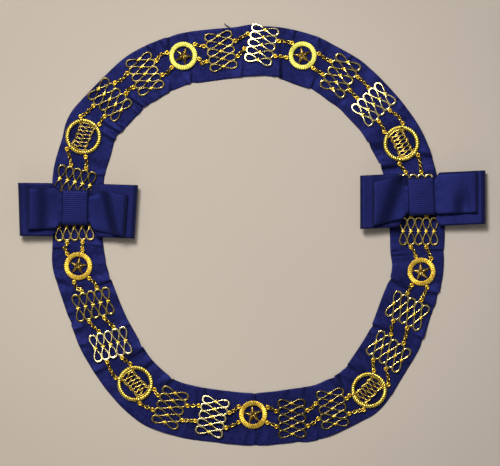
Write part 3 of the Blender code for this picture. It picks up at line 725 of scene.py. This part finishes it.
# ------ roundel
ROUNDEL_OUTER = 19.5 * MM
CORD = 2.28 * MM
CORD_LEVEL = PLAQUE_BASE + 1.05 * MM
CORD_HEIGHT = 0.68  # as a share of its width
GROOVE = 0.38  # how far up the strands the painted shade in the grooves reaches
TWISTS = 44
SCROLL_WIRE = (1.35 * MM, 1.3 * MM)
SCROLL_LEVEL = PLAQUE_BASE + 0.95 * MM
PLAIT = (3, 7.3, 13)  # strands, how far they swing to each side, and the length of a swing
RAIL = ((-12.6, 6.6), (-9, 8), (-5, 6.9), (-1, 8.2), (3, 7), (6.5, 8.1), (10, 7.4), (12.8, 6.4))
BOSS = (15.4 * MM, 8.9 * MM, PLAQUE_BASE + 0.9 * MM)
BOSS_RADIUS, BOSS_HEIGHT = 2.5 * MM, 1.9 * MM
TIE = ((7.6, 6.2, 0.1), (10.2, 7.3, 0.3), (12.8, 8, 0.3), (15.2, 9, 0.2))


def roundel_ring(where):
    """A ring of twisted cord."""
    shape = Shape()
    turn, angle = turns(8 * TWISTS)[:, None], turns(12)
    strand = np.abs(np.cos(0.5 * TWISTS * turn + angle))
    radius = CORD * (0.6 + 0.44 * strand)
    flat = np.sign(np.sin(angle)) * np.abs(np.sin(angle)) ** 0.75
    height = CORD_LEVEL + CORD_HEIGHT * radius * flat
    verts = polar(ROUNDEL_OUTER - CORD + radius * np.cos(angle), turn, height)
    # the grooves between the strands are painted dark, as shade
    recess = 0.5 * (strand + np.roll(strand, -1, 0)).ravel() < GROOVE
    shape.add(verts, grid_faces(len(turn), len(angle), True, True), where, paint=recess.astype(int))
    add_eyelets(shape, ROUNDEL, where, 2, 1)
    return shape


def roundel_scroll(where):
    """Generic scrollwork: a plait between two rails, and ties to the ring."""
    shape = Shape()
    profile = round_profile(*SCROLL_WIRE, 7, 2.2)

    def strand(points):
        add_sweep(shape, np.asarray(points) * MM + (0, 0, SCROLL_LEVEL), profile, False, where)

    strands, swing, length = PLAIT
    for k in range(strands):
        u = np.linspace(-12.8, 12.8, 61)
        turn = math.tau * (u / length + k / strands)
        strand(np.column_stack([u, swing * np.sin(turn), 0.35 * np.cos(strands * turn)]))
    for radius in (-14.6, 14.6):
        strand(polar(radius, np.radians(np.linspace(-40, 40, 22)), 0))
    for side in (-1, 1):
        strand(spline([(side * u, side * v, -0.1) for u, v in RAIL], 4))
    # a tie and a boss at each of the ring's four fixings
    for end, side in CORNERS:
        strand(spline(np.array(TIE) * (end, side, 1), 4))
        add_dome(shape, np.array(BOSS) * (end, side, 1), BOSS_RADIUS, BOSS_HEIGHT, 10, where)
    return shape


# ------ chains
LINK_WIRE = 1.45 * MM
LINK_WIDTH = 3 * MM  # centre-line
LINK_PITCH = 3.3 * MM
OVERLAP = 1.1 * LINK_WIRE
LINK_LEANS = (-62, 22)  # of every other link, in degrees
LINK_UNEVEN = 8
LINK_SKEW = 0.35 * MM
CHAIN_DIP = 0.5 * MM


def link_path(length):
    """An oval link's centre-line, lying in its own xy plane."""
    turn = turns(18)
    path = polar(0.5 * LINK_WIDTH, turn, 0)
    path[:, 0] += 0.5 * max(length - LINK_WIDTH, 0) * np.sign(np.round(np.cos(turn), 6))
    return path


def add_chain(shape, start, finish, sag, phase):
    """Links between two eyelets, bowed sideways by sag."""
    run = finish - start
    out = unit(np.array((-run[1], run[0], 0)))
    hook = unit(run) * (EYELET_RADIUS - 0.15 * MM)
    share = np.linspace(0, 1, 25)[:, None]
    bow = np.sin(math.pi * share)
    line = start + hook + (finish - start - 2 * hook) * share + out * (sag * bow) - (0, 0, CHAIN_DIP) * bow
    lengths = running_length(line)
    links = round(lengths[-1] / LINK_PITCH)
    link = (lengths[-1] + (links - 1) * OVERLAP) / links
    wire = round_profile(LINK_WIRE, LINK_WIRE, 7)
    for k in range(links):
        near, odd = k * (link - OVERLAP), (k + phase) % 2
        first, last = points_at(line, lengths, (near, near + link))
        middle = (first + last) / 2
        shove = out * LINK_SKEW * (1 if odd else -1)
        first, last = first - shove, last + shove
        x_axis = unit(last - first)
        lean = math.radians(LINK_LEANS[odd] + RNG.uniform(-LINK_UNEVEN, LINK_UNEVEN))
        flat = unit(np.cross((0, 0, 1), x_axis))
        y_axis = flat * math.cos(lean) + np.cross(x_axis, flat) * math.sin(lean)
        where = np.stack([x_axis, y_axis, np.cross(x_axis, y_axis), middle], -1)
        add_sweep(shape, link_path(np.linalg.norm(last - first)), wire, where=where)


# sideways bow of the two chains after each plaque, outer then inner, outwards positive
SAGS = (
    (-1, -5.5), (0, 0), (0.5, 0.5), (-1, 0.5), (0.5, -0.5), (2, 1), (0.5, -0.5), (0, 0), (0, 1), (0, 0),
    (0.5, -1), (1, -1), (-0.5, 1), (1, 1), (-1, -1), (0.5, 0.5), (0, 0), (0.5, 1.5), (1, 0), (0.5, 0),
    (2.2, -2), (3.5, 0.5), (0, 0), (-0.5, -1), (-1, 1), (-2, 2.5), (2.8, -2),
)
TIPPED_LIFT = 0.55  # how much of the drop of a tipped plaque's low side is made up by lifting it
STAR_SPINS = (68, 101, 97, 97, 82)  # direction of one point of each star, in the frame


def plaque_place(plaque):
    """Where a plaque's own axes go: x along the chain, y outwards, z up."""
    turn, pitch, roll = np.radians((plaque.heading, plaque.pitch, plaque.roll))
    level = TIPPED_LIFT * (abs(math.sin(roll)) * 20 + abs(math.sin(pitch)) * 16) * MM
    tip = Matrix.Rotation(pitch, 4, "Y") @ Matrix.Rotation(roll, 4, "X")
    return Matrix.Translation((plaque.x * MM, plaque.y * MM, level)) @ Matrix.Rotation(turn, 4, "Z") @ tip


def eyelet_spot(plaque, sx, sy):
    along, across, level = EYELETS[plaque.kind]
    return (np.array(plaque_place(plaque)) @ (sx * along, sy * across, level, 1))[:3]


def make_plaques():
    counts = {KNOT: 0, STAR: 0, ROUNDEL: 0}
    for index, plaque in enumerate(PLAQUES):
        counts[plaque.kind] += 1
        number = counts[plaque.kind]
        node = f"{plaque.kind}_{number:02d}"
        where = plaque_place(plaque)

        def make(shape, prefix, *gilts, **stands_for):
            shape.make(f"{prefix}_{node}", "gilt", *(GILT[gilt] for gilt in gilts), **stands_for)

        if plaque.kind == KNOT:
            wire = KNOT_GILTS[KNOTS_IN_TURN[number - 1]]
            panel = knot_panel(where, KNOT_BENDS.get(number, (0, 0)))
            make(panel, "gilt", wire, "sparkling", "eyelet", "painted_shade", node=node)
        elif plaque.kind == STAR:
            # the stars at the back of the neck get the paler copy, painted light
            frosted = "painted_lit_frosted" if plaque.y > 150 else "frosted"
            make(star_ring(where), "gilt", frosted, "eyelet", "painted_shade", node=node)
            # the star's faces are painted dark as shade; its ridges take the scroll gilt
            make(five_point_star(where, STAR_SPINS[number - 1] - plaque.heading), "star_of", "deep_painted_shade", "scroll")
        else:
            make(roundel_ring(where), "gilt", "bright", "deep_painted_shade", "eyelet", node=node)
            # the fourth roundel's scroll takes the darker copy, painted shade
            make(roundel_scroll(where), "scroll_of", "painted_shade_scroll" if number == 4 else "scroll")
        chains = Shape()
        after = PLAQUES[(index + 1) % len(PLAQUES)]
        for side, sag in zip((1, -1), SAGS[index]):
            start, finish = eyelet_spot(plaque, 1, side), eyelet_spot(after, -1, side)
            add_chain(chains, start, finish, sag * MM, index + (side > 0))
        make(chains, "chains_after", "chain")


make_plaques()

# ------ bows
BOW_THICK = 1.2 * MM
BACK_FLOOR = 6.8 * MM
FRONT_FLOOR = 9.8 * MM
UNDER_WRAP = 4.4 * MM  # a front loop's height there
WRAP_LOW, WRAP_HIGH = 5.3 * MM, 15.4 * MM
WRAP_CORNER = 2.4 * MM
WRAP_DOME = 0.5 * MM
WRAP_RIB_PITCH = 2.15 * MM  # the wraps' ribs are spread a little and show more
WRAP_RIB_DEPTH = 0.18 * MM
PINCH = {"back": 2 * MM, "front": 1.4 * MM}  # how far inside the wrap's sides a loop's sides are
PLEAT = {"back": 0.45 * MM, "front": 0.12 * MM}  # height of its gathered pleats
CURL = 0.35 * MM  # of a front loop's selvedges, downwards


# side view of half a loop, from the wrap along the underside to the fold and back over the top:
# measured from the wrap's edge or back from the fold, and up from where the loop is pinched
def back_profile(rise):
    """The top climbs by rise just inside the fold."""
    return (
        ("wrap", -4, 0), ("wrap", 1, 0), ("wrap", 12.5, -0.8), ("fold", 8, -0.8), ("fold", 1.8, 0.6),
        ("fold", 0, 3.2), ("fold", 1.4, 6), ("fold", 4, 7), ("fold", 7, 6.9), ("fold", 13, 6.9 - rise),
        ("fold", 22, 5.6), ("wrap", 12.5, 4.5), ("wrap", 1, 1.6), ("wrap", -4, 1.3),
    )


def front_profile(crest):
    """Full from the fold to the wrap."""
    return (
        ("wrap", -6, 0), ("wrap", 1, 0.6), ("wrap", 12.5, 2.4), ("fold", 8, 3.4), ("fold", 1.8, 4.6),
        ("fold", 0, 0.72 * crest), ("fold", 1, 0.93 * crest), ("fold", 3, 0.99 * crest), ("fold", 8, crest),
        ("fold", 20, crest), ("wrap", 6, crest), ("wrap", -6, crest),
    )


# a soft step down towards the wrap, along a line from x1, y1 to x2, y2 measured from the wrap's centre:
# its height, and how soft it is at either end of the line
Crease = namedtuple("Crease", "x1 y1 x2 y2 height soft1 soft2")
# a hollow in a loop: its place, its depth and its radii
Dent = namedtuple("Dent", "x y depth wide tall")
# half a loop: its reach and width, how far its centre-line passes above the wrap's centre at the wrap and
# at the fold, how far its end leans at the top, the length over which it spreads to its full width, its
# side view, and how far its lower and upper selvedges stand up
Half = namedtuple("Half", "reach width near far flare gather profile low high")
Loop = namedtuple("Loop", "left right creases dents", defaults=((), ()))
# x and y are the wrap's centre
Bow = namedtuple("Bow", "name x y tilt lean wrap_length wrap_width back front")
BOWS = (
    Bow("left_bow", -190.2, 29.3, -0.6, 0, 28, 36.9,
        back=Loop(Half(60.4, 57, -2.4, -2, -0.9, 13, back_profile(1.1), 0.4, 1.4),
                  Half(65.8, 57.2, -2.8, -4.6, 1.8, 13, back_profile(0.7), 0, 0)),
        front=Loop(Half(50.4, 44, -0.4, -1.6, 0, 9, front_profile(10.4), 1.7, 0.8),
                   Half(54.8, 44.4, -0.8, -9.3, 1.6, 9, front_profile(11.2), 2.2, 1),
                   creases=(Crease(-35.4, 23, -35.4, -25, 5.2, 6, 6),
                            Crease(31.2, 23, 43.7, -33, 7.4, 4, 4)),
                   dents=(Dent(17, 18, 5.2, 6.5, 4.6),))),
    Bow("right_bow", 180.9, 41.2, 3, 0.058, 28.4, 39.4,
        back=Loop(Half(65.6, 57.4, -3.6, -6.4, 0, 13, back_profile(0.2), 0, 0),
                  Half(69, 57.4, -3.2, -0.7, 0, 7, back_profile(0.4), 0, 0)),
        front=Loop(Half(52.4, 47.2, 0.8, -8, 0, 8, front_profile(10.4), 1.4, 0.6),
                   Half(60.2, 43.4, 2.4, 4.4, 0, 6, front_profile(8.8), 0.8, 0),
                   creases=(Crease(-39, -23, -25, 20, 5.6, 5.8, 5.8),
                            Crease(28, -16, 28, 18, 3.6, 9, 9)),
                   dents=(Dent(-17.6, 17.6, 5.6, 5.5, 4.8), Dent(45.5, -11.5, 3.3, 8.5, 15)))),
)


def rib_rows(path, pitch):
    """Points round a closed path, ROWS_PER_RIB to each rib."""
    path = np.vstack([path, path[:1]])
    lengths = running_length(path)
    count = round(lengths[-1] / (pitch / ROWS_PER_RIB))
    return points_at(path, lengths, np.linspace(0, lengths[-1], count))[:-1]


def add_cloth(node, grid, width, where):
    """A closed band of bow cloth, from the surface at the middle of its thickness."""
    rows, cols = grid.shape[:2]
    length = running_length(grid[:, cols // 2])
    uv = np.stack(np.broadcast_arrays(length[:, None], np.linspace(-0.5, 0.5, cols) * width), -1)
    normal = unit(np.cross(np.roll(grid, -1, 0) - np.roll(grid, 1, 0), np.gradient(grid, axis=1)))
    under, far = rows * cols, cols - 1
    outer = grid_faces(rows, cols, close_rows=True)
    first = np.arange(rows) * cols
    after = np.roll(first, -1)
    edges = [np.stack([first, after, after + under, first + under], -1),
             np.stack([after + far, first + far, first + far + under, after + far + under], -1)]
    shape = Shape()
    shape.add(np.concatenate([grid + 0.5 * BOW_THICK * normal, grid - 0.5 * BOW_THICK * normal]),
              np.concatenate([outer, outer[:, ::-1] + under] + edges), where, uv=np.concatenate([uv, uv]),
              lap=length[-1] * (1 + 1 / rows))
    piece = shape.make(f"cloth_{node}", "bow_cloth", BOW_CLOTH, node=node)


def loop_half(half, half_wrap):
    fold = half.reach * MM - 0.5 * BOW_THICK
    return np.array([(half_wrap + along * MM if origin == "wrap" else fold - along * MM, up * MM)
                     for origin, along, up in half.profile])


def bow_loop(bow, which, floor):
    loop, front = getattr(bow, which), which == "front"
    half_wrap = 0.5 * bow.wrap_length * MM
    right, left = loop_half(loop.right, half_wrap), loop_half(loop.left, half_wrap) * (-1, 1)
    path = rib_rows(spline(np.vstack([right, left[::-1]]), 12, closed=True), RIB_PITCH)
    along, z = path[:, :1], path[:, 1:]
    away = np.abs(along) - half_wrap
    pinch = 0.5 * bow.wrap_width * MM - BOW_THICK - PINCH[which]

    def by_side(what):
        return np.where(along > 0, getattr(loop.right, what), getattr(loop.left, what)) * MM

    lane = np.linspace(-1, 1, 29)
    spread = smooth_step((away + 1 * MM) / by_side("gather"))
    out = np.clip(away / (by_side("reach") - half_wrap), 0, 1)
    middle = spread * (by_side("near") + (by_side("far") - by_side("near")) * out)
    y = middle + lane * (pinch + (0.5 * by_side("width") - pinch) * spread)
    x = along + out * by_side("flare") * lane
    # gathered pleats that fade away from the wrap
    gather = np.exp(-np.clip(away, 0, None) / (6 * MM)) * (away > -2 * MM)
    pleat = PLEAT[which] * np.cos(math.pi * (2.5 * lane + 0.4)) * gather
    top = front & (z > 0.5 * (z.max() + z.min()))
    height = floor + z + pleat
    for crease in loop.creases:
        t, d = beside_line(crease, x, y, (-crease.x1, -crease.y1))
        soft = crease.soft1 + (crease.soft2 - crease.soft1) * np.clip(t, 0, 1)
        past = 0.5 + 0.5 * np.tanh(d / (soft * MM))
        height = height - crease.height * MM * past * (x * crease.x1 > 0) * top
    for dent in loop.dents:
        far = np.hypot((x / MM - dent.x) / dent.wide, (y / MM - dent.y) / dent.tall)
        height = height - dent.depth * MM * np.exp(-far ** 2) * (top * smooth_step(away / (2 * MM)))
    # the selvedges stand up a little; those of a front loop only near the wrap
    near_wrap = np.exp(-np.clip(away / (17 * MM), 0, None) ** 2) if front else 1.0
    stand = smooth_step(away / (7 * MM)) * near_wrap
    rises = by_side("low") * np.clip(-lane, 0, 1) ** 2 + by_side("high") * np.clip(lane, 0, 1) ** 2
    height = height + stand * rises
    height = height + (floor + UNDER_WRAP - height) * top * (1 - smooth_step(away / MM + 1)) - bow.lean * y
    height = height + 0.5 * RIB_DEPTH * rib_wave(len(z)) - CURL * np.abs(lane) ** 10 * top
    width = round(0.5 * (loop.left.width + loop.right.width) * MM, 4)
    where = Matrix.Translation((bow.x * MM, bow.y * MM, 0))
    add_cloth(f"{bow.name}_{which}_loop", np.stack([x, y, height], -1), width, where)


def bow_wrap(bow):
    """The band round the middle: one turn of ribbon, slightly domed."""
    half_y, top, bottom = 0.5 * bow.wrap_width * MM, WRAP_HIGH - WRAP_CORNER, WRAP_LOW + WRAP_CORNER
    inner_y = half_y - WRAP_CORNER
    corners = ((inner_y, top), (-inner_y, top), (-inner_y, bottom), (inner_y, bottom))
    bend = np.radians(15 * np.arange(7))
    bends = [polar(WRAP_CORNER, k * math.pi / 2 + bend, 0)[:, :2] + corner
             for k, corner in enumerate(corners)]
    outline = rib_rows(np.vstack(bends), WRAP_RIB_PITCH)
    y, z = outline[:, :1], outline[:, 1:]
    lane = np.linspace(-1, 1, 19)
    on_top = smooth_step((z - 10 * MM) / (3 * MM))
    dome = WRAP_DOME * on_top * (1 - np.abs(lane) ** 4) * (1 - (y / half_y) ** 4)
    height = z + dome + 0.5 * WRAP_RIB_DEPTH * rib_wave(len(y)) * on_top - bow.lean * y
    grid = np.stack(np.broadcast_arrays(0.5 * bow.wrap_length * MM * lane, y, height), -1)
    tilt = Matrix.Rotation(math.radians(bow.tilt), 4, "Z")
    where = Matrix.Translation((bow.x * MM, bow.y * MM, 0)) @ tilt
    add_cloth(f"{bow.name}_wrap", grid[:, ::-1], bow.wrap_length * MM, where)


for bow in BOWS:
    bow_loop(bow, "back", BACK_FLOOR)
    bow_loop(bow, "front", FRONT_FLOOR)
    bow_wrap(bow)

# ------ floor, lights and camera
FLOOR_REACH = 3.0
floor_mesh = bpy.data.meshes.new("floor")
corners = [(x * FLOOR_REACH, y * FLOOR_REACH, 0) for x, y in ((-1, -1), (1, -1), (1, 1), (-1, 1))]
floor_mesh.from_pydata(corners, [], [(0, 1, 2, 3)])
floor_mesh.materials.append(floor_material())
floor = add_object("floor", floor_mesh)
floor.location.z = -0.15 * MM

for name, location, size, watts, colour in (
        ("key_softbox", (-0.86, 1.66, 3.22), 1.15, 106, (1, 0.97, 0.92)),
        ("high_softbox", (-0.1, 0.68, 2.4), 0.36, 6.5, (1, 0.97, 0.9)),
        ("side_softbox", (-1.6, 0.25, 0.95), 0.7, 1.2, (1, 0.96, 0.9)),
        ("low_softbox", (-0.4, -1.7, 1), 0.7, 2.5, (1, 0.96, 0.9))):
    lamp = bpy.data.lights.new(name, "AREA")
    lamp.shape, lamp.size, lamp.energy, lamp.color = "DISK", size, watts, colour
    light = add_object(name, lamp)
    light.location = location
    light.rotation_euler = (-light.location).to_track_quat("-Z", "Y").to_euler()

glint = bpy.data.lights.new("glint", "SUN")
glint.energy, glint.angle = 0.035, math.radians(2.8)
add_object("glint", glint).rotation_euler = (math.radians(-7), 0, 0)

# dim overhead and brighter towards the walls, so that gilt shows dark and bright sides
world = bpy.data.worlds.new("studio")
world.use_nodes = True
tree = world.node_tree
upwards = add_node(tree, "SeparateXYZ", add_node(tree, "TexCoord")["Generated"])["Z"]
sky = colour_ramp(tree, upwards, (0, (0.1, 0.095, 0.09)), (0.3, (0.13, 0.125, 0.12)),
                  (0.6, (0.2, 0.195, 0.19)), (0.955, (0.07, 0.068, 0.066)), (0.99, (0.2, 0.196, 0.19)))
feed(tree, tree.nodes["Background"], Color=sky)
bpy.context.scene.world = world
bpy.context.scene.view_settings.view_transform = "Standard"

CAMERA_HEIGHT = 4.0
FRAME_WIDTH = 0.5375  # of floor in the picture
camera_data = bpy.data.cameras.new("camera")
camera_data.sensor_width = 36.0
camera_data.lens = 36.0 * CAMERA_HEIGHT / FRAME_WIDTH
camera_data.clip_end = 50.0
camera = add_object("camera", camera_data)
camera.location = (-0.0027, 0.0020, CAMERA_HEIGHT)
bpy.context.scene.camera = camera
